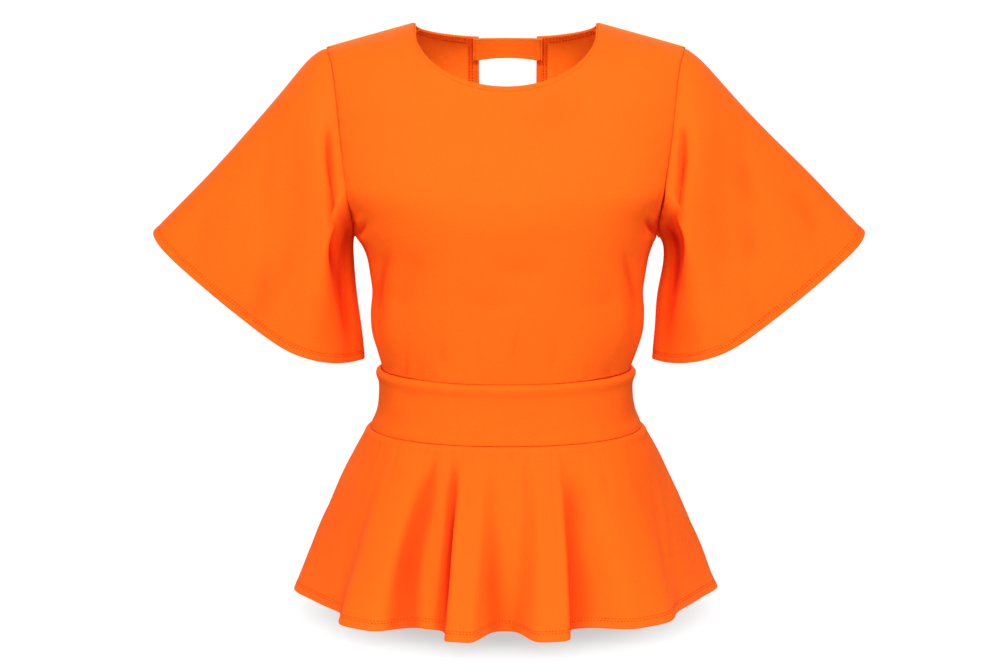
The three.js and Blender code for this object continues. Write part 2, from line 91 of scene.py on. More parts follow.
BODICE = table(
    "z half front back shift",
    (-338, 132.6, 106.3, 74.6, 0),
    (-330, 133.4, 106.9, 73.8, 0.4),
    (-317, 137.6, 108.2, 73.2, 1),
    (-295, 144, 110.3, 73, 1.4),
    (-274, 145.5, 112.4, 73.3, 1.5),
    (-252, 143.9, 114.6, 74.4, 1.6),
    (-235, 145.8, 116.4, 75.6, 1.7),
    (-215, 148.8, 118.7, 77.5, 1.9),
    (-202, 153.6, 120.2, 78.8, 1.4),
    (-193, 159, 121.3, 79.7, 0),
    (-175, 158, 123.5, 81.5, 0),
    (-145, 160.9, 120.5, 84, 0),
    (-90, 168.3, 99, 83, 0),
    (-40, 174.4, 77.5, 74, 0),
    (-15, 179.5, 68, 68, 0),
    (0, 185, 62, 63, 0),
    (25, 189, 52, 52, 0),
)

BAND = table(
    "z half front back",
    (-396.5, 144.8, 110.3, 83),
    (-391, 142.6, 109.4, 81),
    (-381, 138.4, 108.2, 78),
    (-366, 136, 107.4, 76),
    (-349, 135.5, 107.5, 75.6),
    (-338.5, 138, 109.4, 77.4),
    (-333.5, 134, 106.8, 74.6),
)
BAND_DIP = 2.5

# Peplum
PEPLUM_TOP = {"half": 145, "front": 110.8, "back": 83.5}
PEPLUM_HEM = {"half": 212, "front": 152, "back": 146}
PEPLUM_TOP_Z = -396.5
PEPLUM_HEM_Z = -578
FLARE_POWER = 0.79
FOLD_GROWTH = 1.15
SEAM_ROLL = 1
SEAM_ROLL_REACH = 9

# Angles in degrees from the centre front, towards the wearer's left
PEPLUM_FOLDS = table(
    "waist hem half rise edge",
    (-15, -14.1, 7, 40, 6),
    (20, 13.6, 7.1, 38.5, 6),
    (-29, -27, 3, 4, 4),
    (-47, -46, 10, 34, 5),
    (50, 47.2, 11.8, 25, 4.5),
    (-92, -93, 12.5, 18, 4),
    (93, 96, 12, 19, 4),
    (-124, -127, 9, 30, 4),
    (126, 129, 10, 27, 4),
    (-151, -154, 8, 35, 4),
    (155, 156, 7.5, 33, 4),
    (-178, -179, 9, 28, 4),
)

# Sleeves
RIGHT_SLEEVE = {
    "name": "right_sleeve", "side": -1, "tip_x": 371, "tip_z": -190,
    "inner_x": 152, "inner_z": -326.5, "cap": 6.3, "clear": 3,
}
LEFT_SLEEVE = {
    "name": "left_sleeve", "side": 1, "tip_x": 378, "tip_z": -189,
    "inner_x": 156.5, "inner_z": -326.5, "cap": 3.8, "clear": 8,
}
BACK_SHARE = 0.9
CAP_PUFF = 14
CAP_PUFF_AT = 0.16
CAP_RISE_AT = 0.1
CAP_LEAN = 0.7
CLEAR_AT = 0.16
SLEEVE_HEM = table(
    "angle forward drop",
    (0, 0, 0),
    (15, 15, 3),
    (30, 27, 7),
    (60, 47, 13.5),
    (90, 63, 20),
    (106, 71, 22),
    (119, 75, 21),
    (132, 72, 16),
    (144, 56, 11),
    (156, 31, 6.5),
    (168, 11, 2),
    (180, 0, 0),
)

# Opening down the back, its turned edges and the strap
SLOT_CENTRE = 2
SLOT_HALF = 31
SLOT_BOTTOM_Z = -140
SLOT_ROUND_Z = SLOT_BOTTOM_Z + SLOT_HALF
SLOT_FACING_WIDTH = 12
NECK_FACING_WIDTH = 7
STRAP_HALF = 38
STRAP_TOP_Z = 14.5
STRAP_WIDTH = 25
STRAP_ARCH = 3
SLOT_STRAIGHT = STRAP_TOP_Z - 1 - SLOT_ROUND_Z
SLOT_EDGE = 2 * SLOT_STRAIGHT + math.pi * SLOT_HALF
NECK_FACING_START = 0.40 * math.pi
SLOT_ROWS = (7.4, 10.6)
NECK_ROWS = (2.8, 6.2)
FACING_CLOTH = 0.9
STRAP_CLOTH = 2.0

# Depths under the outer face of the back: of a piece's own outer face, then of its rows of stitches
SLOT_FACING_DEPTH = CLOTH + 1.15
NECK_FACING_DEPTH = CLOTH + 1.1
STRAP_DEPTH = CLOTH + 2.6
SLOT_ROW_DEPTH = CLOTH + 2.1
NECK_ROW_DEPTH = CLOTH + 1.95
STRAP_ROW_DEPTH = CLOTH + 4.7


def smooth(rows, key, column, at):
    """A smooth curve through one column of a table, read wherever it is asked."""
    keys = rows[key]
    values = rows[column]
    last = len(keys) - 1
    low = np.maximum(np.arange(last + 1) - 1, 0)
    high = np.minimum(np.arange(last + 1) + 1, last)
    slopes = (values[high] - values[low]) / (keys[high] - keys[low])
    t = np.clip(at, keys[0], keys[-1])
    i = np.clip(np.searchsorted(keys, t, side="right") - 1, 0, last - 1)
    span = keys[i + 1] - keys[i]
    s = (t - keys[i]) / span
    return (
        values[i] * (2 * s**3 - 3 * s**2 + 1)
        + slopes[i] * span * (s**3 - 2 * s**2 + s)
        + values[i + 1] * (3 * s**2 - 2 * s**3)
        + slopes[i + 1] * span * (s**3 - s**2)
    )


def lerp(a, b, t):
    return a + (b - a) * t


def ease(t, low, high):
    """0 below low, 1 above high and smooth between."""
    s = np.clip((t - low) / (high - low), 0, 1)
    return s * s * (3 - 2 * s)


def bell(distance, width):
    """1 at no distance, falling off to either side."""
    return np.exp(-((distance / width) ** 2))


def bodice_at(column, z):
    return smooth(BODICE, "z", column, z)


def section_depth(share):
    """How much of its depth a section keeps at a share of its half-width."""
    inside = 1 - np.minimum(np.abs(share), 1) ** SECTION_POWER
    return np.maximum(inside, 0) ** (1 / SECTION_POWER)


def edge_share(z):
    """The depth left at the armhole edge, as a share of the depth at the centre."""
    below = np.clip((ARMHOLE_TURN_Z - z) / (ARMHOLE_TURN_Z - UNDERARM_Z), 0, 1)
    return np.where(z <= UNDERARM_Z, 0, ARMHOLE_TURN * (1 - below**2))


def full_half(z):
    return bodice_at("half", z) / section_depth(edge_share(z))


def shoulder_line(x):
    out = np.abs(x) - NECK_HALF
    up_the_neck = NECK_POINT_Z - out * NECK_RISE
    along_the_shoulder = NECK_POINT_Z * (1 - out / (SHOULDER_HALF - NECK_HALF))
    return np.where(out < 0, up_the_neck, along_the_shoulder)


def shoulder_arch(x, z):
    below = np.clip((shoulder_line(x) - z) / SHOULDER_ROUNDING, 0, 1)
    return np.sqrt(1 - (1 - below) ** 2)


def bodice_y(face, x, z):
    share = (x - bodice_at("shift", z)) / full_half(z)
    depth = bodice_at(face, z) * section_depth(share) * shoulder_arch(x, z)
    return SEAM_PLANE_Y - depth if face == "front" else SEAM_PLANE_Y + depth


def dip_share(x, half):
    return np.maximum(0, 1 - (x / half) ** 2)


def bodice_top(face, u):
    """Upper edge of a bodice panel: the neckline, then the shoulder seam."""
    share = np.abs(u) / NECK_SHARE
    turn = np.minimum(share, 1) * math.pi / 2
    drop = FRONT_NECK_DROP if face == "front" else BACK_NECK_DROP
    out = np.maximum(np.abs(u) - NECK_SHARE, 0) / (1 - NECK_SHARE)
    x = np.where(share <= 1, NECK_HALF * np.sin(turn), lerp(NECK_HALF, SHOULDER_HALF, out))
    z = np.where(share <= 1, NECK_POINT_Z - drop * np.cos(turn), shoulder_line(x))
    return np.sign(u) * x, z


def bodice_points(face, u, v):
    top_x, top_z = bodice_top(face, u)
    waist_half = BAND["half"][-1]
    waist_x = waist_half * np.sin(u * math.pi / 2)
    z = lerp(WAIST_Z - WAIST_DIP * dip_share(waist_x, waist_half), top_z, v)
    half = bodice_at("half", z)
    section_x = bodice_at("shift", z) + half * np.sin(u * math.pi / 2)
    settle = ease(v, SETTLE_FROM, 1)
    inside = half / lerp(half, SHOULDER_HALF, settle)
    x = np.where(v >= 1, top_x, lerp(section_x, top_x, settle) * lerp(1, inside, u**4))
    return np.stack([x, bodice_y(face, x, z), z], -1)


def oval_radius(oval, angle, power):
    depth = np.where(np.cos(angle) > 0, oval["front"], oval["back"])
    wide = (np.abs(np.sin(angle)) / oval["half"]) ** power
    deep = (np.abs(np.cos(angle)) / depth) ** power
    return (wide + deep) ** (-1 / power)


def around_body(angle, radius, z):
    return np.stack([radius * np.sin(angle), SEAM_PLANE_Y - radius * np.cos(angle), z], -1)


def band_points(angle, v):
    z = lerp(PEPLUM_TOP_Z, WAIST_Z, v)
    oval = {column: smooth(BAND, "z", column, z) for column in ("half", "front", "back")}
    radius = oval_radius(oval, angle, SECTION_POWER)
    dip = lerp(BAND_DIP, WAIST_DIP, v) * dip_share(radius * np.sin(angle), oval["half"])
    return around_body(angle, radius, z - dip)


def fold_rise(degrees, t):
    """How far the peplum's folds stand out from its plain flare."""
    rise = np.zeros(np.broadcast(degrees, t).shape)
    for waist, hem, half, height, edge in zip(*PEPLUM_FOLDS.values()):
        away = (degrees - lerp(waist, hem, t) + 540) % 360 - 180
        rise += height / (1 + np.abs(away / half) ** edge)
    return rise * t**FOLD_GROWTH


def peplum_points(angle, t):
    top = oval_radius(PEPLUM_TOP, angle, SECTION_POWER)
    plain = lerp(top, oval_radius(PEPLUM_HEM, angle, 2), t**FLARE_POWER)
    down = (PEPLUM_TOP_Z - PEPLUM_HEM_Z) * t
    roll = SEAM_ROLL * np.sin(math.pi * np.minimum(down / SEAM_ROLL_REACH, 1))
    radius = plain + fold_rise(np.degrees(angle), t) + roll
    dip = BAND_DIP * dip_share(radius * np.sin(angle), PEPLUM_TOP["half"]) * (1 - t)
    return around_body(angle, radius, PEPLUM_TOP_Z - down - dip)


def sleeve_points(sleeve, angle, t):
    """The angle starts at the sleeve's top line and runs down over the front."""
    start_z = UNDERARM_Z / 2 * (1 - np.cos(angle))
    start_x = bodice_at("half", start_z)
    in_front = np.sin(angle) >= 0
    start_y = np.where(in_front, bodice_y("front", start_x, start_z), bodice_y("back", start_x, start_z))
    start_depth = np.abs(start_y - SEAM_PLANE_Y)
    folded = np.degrees(np.where(angle <= math.pi, angle, 2 * math.pi - angle))
    forward = smooth(SLEEVE_HEM, "angle", "forward", folded) * np.where(in_front, 1, BACK_SHARE)
    drop = smooth(SLEEVE_HEM, "angle", "drop", folded)
    run_x = sleeve["inner_x"] - sleeve["tip_x"]
    run_z = sleeve["inner_z"] - sleeve["tip_z"]
    run = math.hypot(run_x, run_z)
    end_x = (sleeve["inner_x"] + sleeve["tip_x"]) / 2 - run_x / 2 * np.cos(angle) - drop * run_z / run
    end_z = (sleeve["inner_z"] + sleeve["tip_z"]) / 2 - run_z / 2 * np.cos(angle) + drop * run_x / run
    puff_time = t / CAP_PUFF_AT
    puff = CAP_PUFF * np.sin(angle) ** 2 * puff_time**2 * np.exp(2 * (1 - puff_time))
    rise_time = t / CAP_RISE_AT
    rise = sleeve["cap"] * np.maximum(np.cos(angle), 0) ** 2 * rise_time * np.exp(1 - rise_time)
    clear_time = t / CLEAR_AT
    clear = sleeve["clear"] * np.maximum(-np.cos(angle), 0) ** 2 * clear_time * np.exp(1 - clear_time)
    x = lerp(start_x, end_x, t) + rise * CAP_LEAN + clear
    z = lerp(start_z, end_z, t) + rise * CAP_LEAN
    out = lerp(start_depth, forward, t) + puff
    return np.stack([sleeve["side"] * x, SEAM_PLANE_Y - np.where(in_front, out, -out), z], -1)


def grid_normals(points, closed=False):
    """Unit normals of a grid whose columns and rows turn right-handed about them."""
    if closed:
        across = np.roll(points, -1, axis=1) - np.roll(points, 1, axis=1)
    else:
        across = np.gradient(points, axis=1)
    normal = np.cross(across, np.gradient(points, axis=0))
    return normal / np.maximum(np.linalg.norm(normal, axis=-1, keepdims=True), 1e-9)


def raised(base, form, closed=False):
    """A surface with a relief on it."""
    return base + grid_normals(base, closed) * form[..., None]


def edge_distances(points, closed=False):
    """Distance along the cloth from its bottom, top, left and right edges."""
    zeros_row = np.zeros((1, points.shape[1]))
    rows = np.linalg.norm(np.diff(points, axis=0), axis=-1)
    from_bottom = np.concatenate([zeros_row, np.cumsum(rows, axis=0)])
    reach = {"bottom": from_bottom, "top": from_bottom[-1:] - from_bottom}
    if not closed:
        columns = np.linalg.norm(np.diff(points, axis=1), axis=-1)
        from_left = np.concatenate([np.zeros((points.shape[0], 1)), np.cumsum(columns, axis=1)], axis=1)
        reach["left"] = from_left
        reach["right"] = from_left[:, -1:] - from_left
    return reach


def from_side_seams(reach):
    return np.minimum(reach["left"], reach["right"])


# Where the rows of points lie beside an edge that is rounded
CLOSE_STEPS = (0, 0.25, 0.6, 1.0, 1.6, 2.4, 3.4, 4.8, 6.6)
WAVE_COUNT = 7
WAVE_HEIGHT = 2.6


def steps(length, spacing):
    """Shares of a length, evenly spaced but closer together beside its two ends."""
    before = np.array(CLOSE_STEPS) / length
    after = 1 - before[::-1]
    count = max(2, round((after[0] - before[-1]) * length / spacing))
    return np.unique(np.concatenate([before, np.linspace(before[-1], after[0], count + 1), after]))


def waves(points, seed, size, height):
    """Soft uneven swells, from a few crossing waves of about one size."""
    rng = np.random.default_rng(seed)
    total = np.zeros(points.shape[:-1])
    for _ in range(WAVE_COUNT):
        direction = rng.normal(size=3)
        direction /= np.linalg.norm(direction)
        length = size * rng.uniform(0.7, 1.5)
        total += np.sin(points @ direction * (2 * math.pi / length) + rng.uniform(0, 2 * math.pi))
    return total * height / WAVE_HEIGHT


CREASE_PARTS = 14
CREASE_FADE = 1.4

# The depth of a fold is read this many points away. Troughs and seams add to it. Each mark rises from
# 0 to 1 between its two depths, and the crepe takes its colour there, a darker red painted as shade.
FOLD_REACHES = (3, 5, 7)
TROUGH_SHARE = 0.32
SEAM_SHADE_DEPTH = 3.2
SEAM_SHADE_WIDTH = 0.8
FOLD_MARKS = (("hollow_shade", -0.1, 2.4), ("crevice_shade", 2.4, 5.2))


def crease(across, down, path, width, height):
    """A soft ridge, or a trough where height is below zero, along a bent path over two coordinates."""
    start, middle, end = np.array(path, float)
    s = np.linspace(0, 1, CREASE_PARTS + 1)[:, None]
    line = (1 - s) ** 2 * start + 2 * s * (1 - s) * middle + s**2 * end
    near = np.full(across.shape, np.inf)
    along = np.zeros(across.shape)
    for part, (a, b) in enumerate(zip(line[:-1], line[1:])):
        run = b - a
        t = np.clip(((across - a[0]) * run[0] + (down - a[1]) * run[1]) / (run @ run), 0, 1)
        away = (across - a[0] - t * run[0]) ** 2 + (down - a[1] - t * run[1]) ** 2
        closer = away < near
        near = np.where(closer, away, near)
        along = np.where(closer, (part + t) / CREASE_PARTS, along)
    return height * np.sin(math.pi * along) ** CREASE_FADE * np.exp(-near / width**2)


def creases(across, down, rows):
    """The sum of several creases: each row holds start, middle, end, width and height."""
    total = np.zeros(across.shape)
    for start, middle, end, width, height in rows:
        total += crease(across, down, (start, middle, end), width, height)
    return total


def ditch(reach, depth, width):
    """The dip of the cloth into a seam."""
    return -depth * bell(reach, width)


def hem_form(reach, rows, depth=0.55, proud=0.28):
    """A turned hem on the outside: a little proud, with a groove under each row of stitches."""
    form = proud * (1 - ease(reach, HEM_WIDTH - 0.6, HEM_WIDTH + 1.2))
    for row in rows:
        form = form - depth * bell(reach - row, GROOVE_WIDTH)
    return form


def hem_thickness(reach):
    return lerp(HEM_CLOTH, CLOTH, ease(reach, HEM_WIDTH - 0.3, HEM_WIDTH + 0.5))


def rounding(reach, radius):
    """How far a face drops beside an edge rounded to a radius."""
    short = radius - np.clip(reach, 0, radius)
    return ROUNDING_SHARE * (radius - np.sqrt(radius**2 - short**2))


def fold_depths(points, normal, closed):
    """How far each point lies behind the cloth around it."""
    rows, columns = np.indices(points.shape[:2])

    def beside(down, along):
        column = columns + along
        column = column % points.shape[1] if closed else np.clip(column, 0, points.shape[1] - 1)
        return points[np.clip(rows + down, 0, points.shape[0] - 1), column]

    depth = 0
    for reach in FOLD_REACHES:
        level = (beside(0, reach) + beside(0, -reach) + beside(reach, 0) + beside(-reach, 0)) / 4
        depth = depth + ((level - points) * normal).sum(-1) / len(FOLD_REACHES)
    return depth


def troughs(form):
    """What the troughs of a relief add to the depth of its folds, and so to their painted shade."""
    return TROUGH_SHARE * np.maximum(-form, 0)


# Painted shade along a seam, as depth added to the folds beside it.
def seam_shade(reach):
    return SEAM_SHADE_DEPTH * bell(reach, SEAM_SHADE_WIDTH)


def shell(name, points, thickness, closed=False, keep=None, rim=None, hems=(), shade=0):
    """A wall of cloth: its points give the outer face, its hems are fully rounded and its seams a little.

    The rim is the distance from a further hem, and the shade adds to the depth of its folds. That depth
    is painted into the colour as shade, and the inner face is marked for a lighter painted colour.
    """
    normal = grid_normals(points, closed)
    reach = edge_distances(points, closed)
    half = np.broadcast_to(thickness, normal.shape[:2]) / 2
    hem = [reach[edge] for edge in hems] + ([] if rim is None else [rim])
    inset = rounding(np.min(list(reach.values()), axis=0), SEAM_ROUNDING)
    if hem:
        inset = np.maximum(inset, rounding(np.min(hem, axis=0), half))
    outer = points - normal * inset[..., None]
    inner = points - normal * (2 * half - inset)[..., None]
    rows, columns = half.shape
    index = np.arange(rows * columns).reshape(rows, columns)
    if closed:
        index = np.concatenate([index, index[:, :1]], axis=1)
    kept = np.ones((rows - 1, index.shape[1] - 1), bool) if keep is None else keep
    under = rows * columns
    a, b = index[:-1, :-1], index[:-1, 1:]
    c, d = index[1:, 1:], index[1:, :-1]
    faces = [np.stack([a, b, c, d], -1)[kept], np.stack([a, d, c, b], -1)[kept] + under]

    def rim_faces(first, second, where):
        first, second = first[where], second[where]
        faces.append(np.stack([first, second, second + under, first + under], -1))

    empty_row = np.zeros((1, kept.shape[1]), bool)
    above = np.concatenate([kept, empty_row])
    below = np.concatenate([empty_row, kept])
    rim_faces(index[:, 1:], index[:, :-1], above & ~below)
    rim_faces(index[:, :-1], index[:, 1:], below & ~above)
    if closed:
        right_of, left_of = kept, np.roll(kept, 1, axis=1)
        lower, upper = index[:-1, :-1], index[1:, :-1]
    else:
        empty_column = np.zeros((kept.shape[0], 1), bool)
        right_of = np.concatenate([kept, empty_column], axis=1)
        left_of = np.concatenate([empty_column, kept], axis=1)
        lower, upper = index[:-1], index[1:]
    rim_faces(lower, upper, right_of & ~left_of)
    rim_faces(upper, lower, left_of & ~right_of)
    quads = np.concatenate(faces)
    used, quads = np.unique(quads, return_inverse=True)
    places = np.concatenate([outer.reshape(-1, 3), inner.reshape(-1, 3)])[used] * MM
    piece = mesh_object(name, places, quads.reshape(-1, 4))
    # Painted shade: the deeper a point lies among the cloth around it, the darker red its marks make it.
    depth = (fold_depths(outer, normal, closed) + shade).ravel()
    for mark, shallow, deep in FOLD_MARKS:
        value = ease(depth, shallow, deep)
        mark_points(piece, mark, np.concatenate([value, value * 0])[used])
    # Painted light: the inner face is marked to take a lighter colour.
    mark_points(piece, "inside", np.repeat([0, 1], depth.size)[used])
    return piece, {"outer": outer, "normal": normal, "reach": reach}


def mark_points(piece, mark, values):
    attribute = piece.data.attributes.new(mark, "FLOAT", "POINT")
    attribute.data.foreach_set("value", values.astype(np.float32))


def mesh_object(name, places, quads):
    mesh = bpy.data.meshes.new(name)
    mesh.vertices.add(len(places))
    mesh.vertices.foreach_set("co", places.astype(np.float32).ravel())
    mesh.loops.add(quads.size)
    mesh.loops.foreach_set("vertex_index", quads.astype(np.int32).ravel())
    mesh.polygons.add(len(quads))
    mesh.polygons.foreach_set("loop_start", np.arange(0, quads.size, 4, dtype=np.int32))
    mesh.polygons.foreach_set("loop_total", np.full(len(quads), 4, np.int32))
    mesh.polygons.foreach_set("use_smooth", np.ones(len(quads), bool))
    mesh.update(calc_edges=True)
    mesh.validate()
    piece = bpy.data.objects.new(name, mesh)
    bpy.context.scene.collection.objects.link(piece)
    return piece


def socket_value(node, values):
    for name, value in values.items():
        node.inputs[name].default_value = value


def wire(tree, *links):
    """Joins outputs of nodes to inputs of others, by name or number."""
    for source, outlet, target, inlet in links:
        tree.links.new(source.outputs[outlet], target.inputs[inlet])


def crepe_material(name, colour, deep_colour, marked_colours=()):
    """Matte stretch crepe: a pebbled face over a fine knit, in an uneven colour.

    A mark is an attribute of the mesh, and where it rises the crepe takes the mark's own colour.
    """
    material = bpy.data.materials.new(name)
    material.use_nodes = True
    tree = material.node_tree
    surface = tree.nodes["Principled BSDF"]
    socket_value(surface, {
        "Roughness": 0.9,
        "Specular IOR Level": 0.1,
        "Sheen Weight": 0.03,
        "Sheen Roughness": 0.6,
        "Sheen Tint": (1.0, 0.4, 0.15, 1),
    })
    place = tree.nodes.new("ShaderNodeTexCoord")

    def noise(scale, detail, roughness=0.5):
        node = tree.nodes.new("ShaderNodeTexNoise")
        socket_value(node, {"Scale": scale, "Detail": detail, "Roughness": roughness})
        wire(tree, (place, "Object", node, "Vector"))
        return node

    def bump(pattern, outlet, distance, strength, under=None):
        node = tree.nodes.new("ShaderNodeBump")
        socket_value(node, {"Distance": distance, "Strength": strength})
        wire(tree, (pattern, outlet, node, "Height"))
        if under:
            wire(tree, (under, "Normal", node, "Normal"))
        return node

    pebble = tree.nodes.new("ShaderNodeTexVoronoi")
    socket_value(pebble, {"Scale": 900})
    wire(tree, (place, "Object", pebble, "Vector"))
    crimp = noise(420, 3, 0.65)
    cockle = noise(70, 2)
    patches = noise(9, 3)
    first = bump(cockle, "Fac", 0.0012, 0.25)
    second = bump(crimp, "Fac", 0.0007, 0.8, first)
    third = bump(pebble, "Distance", 0.0003, 0.35, second)
    wire(tree, (third, "Normal", surface, "Normal"))

    mix = tree.nodes.new("ShaderNodeMix")
    mix.data_type = "RGBA"
    mix.inputs["A"].default_value = (*deep_colour, 1)
    mix.inputs["B"].default_value = (*colour, 1)
    ramp = tree.nodes.new("ShaderNodeMapRange")
    socket_value(ramp, {"From Min": 0.3, "From Max": 0.7})
    blend = tree.nodes.new("ShaderNodeMath")
    blend.operation = "MULTIPLY_ADD"
    blend.inputs[1].default_value = 0.5
    half = tree.nodes.new("ShaderNodeMath")
    half.operation = "MULTIPLY"
    half.inputs[1].default_value = 0.5
    wire(
        tree,
        (crimp, "Fac", blend, 0),
        (patches, "Fac", half, 0),
        (half, 0, blend, 2),
        (blend, 0, ramp, "Value"),
        (ramp, "Result", mix, "Factor"),
    )
    cloth = mix
    for mark, marked_colour in marked_colours:
        marked = tree.nodes.new("ShaderNodeAttribute")
        marked.attribute_name = mark
        layer = tree.nodes.new("ShaderNodeMix")
        layer.data_type = "RGBA"
        layer.inputs["B"].default_value = (*marked_colour, 1)
        wire(tree, (marked, "Fac", layer, "Factor"), (cloth, "Result", layer, "A"))
        cloth = layer
    wire(tree, (cloth, "Result", surface, "Base Color"))
    return material


# Painted shade makes folds, troughs and seams a deeper red, darkest in crevices; painted light makes the
# inner face lighter.
PAINTED_SHADE_AND_LIGHT = (
    ("hollow_shade", (0.84, 0.06, 0.0022)),
    ("crevice_shade", (0.58, 0.013, 0.0005)),
    ("inside", (0.97, 0.165, 0.0072)),
)
CREPE = crepe_material("orange_crepe", (0.93, 0.118, 0.0052), (0.91, 0.107, 0.0045), PAINTED_SHADE_AND_LIGHT)
# The thread matches the cloth; its darker colour is painted shade of the grooves it lies in.
SHADED_THREAD = crepe_material("orange_thread_painted_shade", (0.42, 0.022, 0.001), (0.38, 0.018, 0.001))


def wear(piece, node):
    """Gives a finished piece its cloth and its body, and hides the imported part it stands for."""
    piece.data.materials.append(CREPE)
    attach(piece, "root")
    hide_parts(node)
    return piece


# Bodice

# The places of these creases are x and z.
ARMHOLE_PULLS = (
    ((-160, -196), (-150, -189), (-138, -173), 2.8, -3.0),
    ((-156, -181), (-149, -176), (-139, -166), 3.8, 1.8),
    ((-162, -128), (-157, -152), (-150, -176), 3.4, -0.8),
    ((160, -195), (151, -187), (140, -170), 3.0, -2.8),
    ((156, -179), (149, -173), (140, -162), 4, 1.6),
    ((162, -132), (157, -154), (150, -176), 3.4, -0.8),
)
SIDE_FOLDS = (
    ((-108, -184), (-148, -262), (-126, -338), 5.5, -1.9),
    ((-100, -196), (-128, -262), (-112, -326), 9, 2.4),
    ((109, -186), (147, -264), (127, -338), 5.5, -1.8),
    ((100, -198), (127, -264), (113, -326), 9, 2.3),
)
FRONT_CREASES = (
    ((17, -264), (7, -290), (6, -334), 2.6, -1.0),
    ((-26, -276), (-30, -300), (-31, -326), 3.6, -0.6),
    ((52, -284), (50, -306), (46, -328), 4.2, -0.6),
    ((-64, -282), (-66, -306), (-64, -328), 4.5, -0.6),
    ((-12, -118), (-44, -150), (-74, -164), 13, -0.9),
    ((14, -120), (44, -152), (76, -166), 13, -0.9),
    ((-60, -246), (-20, -256), (24, -250), 10, -0.6),
    ((-38, -210), (6, -222), (58, -214), 12, -0.7),
)
BACK_CREASES = (
    ((-104, -180), (-118, -226), (-112, -290), 9, -2.4),
    ((104, -178), (120, -230), (114, -286), 9, -2.6),
    ((-40, -300), (-44, -314), (-43, -330), 4.5, -0.7),
    ((8, -296), (10, -312), (12, -329), 4, -0.6),
    ((56, -302), (54, -316), (52, -331), 5, -0.7),
    ((-88, -268), (-30, -286), (30, -280), 11, -1.1),
    ((-60, -196), (0, -212), (62, -200), 13, -0.8),
    ((-78, -40), (-92, -76), (-112, -96), 10, -0.8),
    ((80, -42), (95, -78), (112, -100), 10, -0.8),
)
BODICE_CREASES = {
    "front": FRONT_CREASES + ARMHOLE_PULLS + SIDE_FOLDS,
    "back": BACK_CREASES + ARMHOLE_PULLS,
}
WAVE_SEED = {"front": 3, "back": 8}
GATHER_SEED = {"front": 5, "back": 6}
WAIST_GATHERS = 44
GATHER_REACH = 34

# The step of the side is evened out between these heights, and not past these distances from the
# centre. The form is averaged from twice the spread below to twice the spread above.
STEP_BOTTOM = (-250, -225)
STEP_TOP = (-185, -165)
STEP_SIDE = (128, 148)
STEP_SPREAD = 10

# Between these depths under the origin, the waves of the bodice rise from nothing to their height
CALM_SHOULDER = (-5, 90)
NECK_HEM_CLOTH = 2.1
NECK_HEM_END = (6.5, 8)

# Between these distances from the slot, the relief of the back rises to its height
QUIET_AT_SLOT = (2, 30)

# Lengths that set how many columns and rows a bodice panel has, and the shares of the way out between
# which its rows begin to lie closer together at the top
BODICE_GIRTH = 450
BODICE_HEIGHT = 360
CLOSER_ROWS = (0.3, 0.52)

# Between these shares of the way out, the columns of the back lie closer together for the slot's edge
SLOT_COLUMNS = (0.075, 0.17)
COLUMN_GAP = 0.0005


def gathers(x, above, half, seed):
    """Short uneven ripples that rise from a seam the cloth is eased into."""
    rng = np.random.default_rng(seed)
    total = np.zeros(x.shape)
    for place in np.linspace(-0.95, 0.95, WAIST_GATHERS):
        centre = (place + rng.uniform(-0.016, 0.016)) * half
        width = rng.uniform(1.6, 3.4)
        length = GATHER_REACH * rng.uniform(0.3, 1)
        height = rng.uniform(-0.75, 0.4)
        lean = rng.uniform(-0.12, 0.12)
        fade = bell(above, length) * ease(above, -0.5, 3)
        total += height * fade * bell(x - centre - lean * above, width)
    return total


def underarm_ease(face, x, z):
    """Evens out the step of the side below the armhole: how far the form nearby stands further out."""
    shifts = np.linspace(-2 * STEP_SPREAD, 2 * STEP_SPREAD, 13)
    weights = bell(shifts, STEP_SPREAD)
    nearby = sum(weight * bodice_y(face, x, z + shift) for weight, shift in zip(weights, shifts))
    out = np.abs(nearby / weights.sum() - SEAM_PLANE_Y) - np.abs(bodice_y(face, x, z) - SEAM_PLANE_Y)
    at_the_step = ease(z, *STEP_BOTTOM) * (1 - ease(z, *STEP_TOP))
    return out * at_the_step * (1 - ease(np.abs(x), *STEP_SIDE))


def bodice_relief(face, points, reach):
    x, z = points[..., 0], points[..., 2]
    calm = ease(-z, *CALM_SHOULDER)
    form = creases(x, z, BODICE_CREASES[face]) + waves(points, WAVE_SEED[face], 85, 0.8) * calm
    form += underarm_ease(face, x, z)
    form += gathers(x, reach["bottom"], BAND["half"][-1], GATHER_SEED[face])
    beside_armhole = from_side_seams(reach)
    form += ditch(beside_armhole, 0.45, 2.4) + ditch(reach["bottom"], 0.35, 2.2)
    puckers = waves(points, 21, 14, 0.22)
    form += puckers * bell(beside_armhole, 9) * calm
    on_shoulder = np.abs(points[-1:, :, 0]) > NECK_HALF
    form += np.where(on_shoulder, ditch(reach["top"], 0.5, 2), 0)
    return form


def bodice_grid(face, across):
    """The two shares of every point, with the rows closer together towards the shoulder seams."""
    sense = 1 if face == "front" else -1
    up = steps(BODICE_HEIGHT, 2.1)
    u, s = np.meshgrid(across * sense, up)
    power = lerp(1, 2, ease(np.abs(u), *CLOSER_ROWS))
    v = 1 - (1 - s) ** power
    return u, v


def neck_form(x_top, reach):
    """The turned edge of the neck: a shallow groove under its row of stitches."""
    return np.where(np.abs(x_top) < NECK_HALF, hem_form(reach, (NECK_ROW,), 0.22, 0.12), 0)


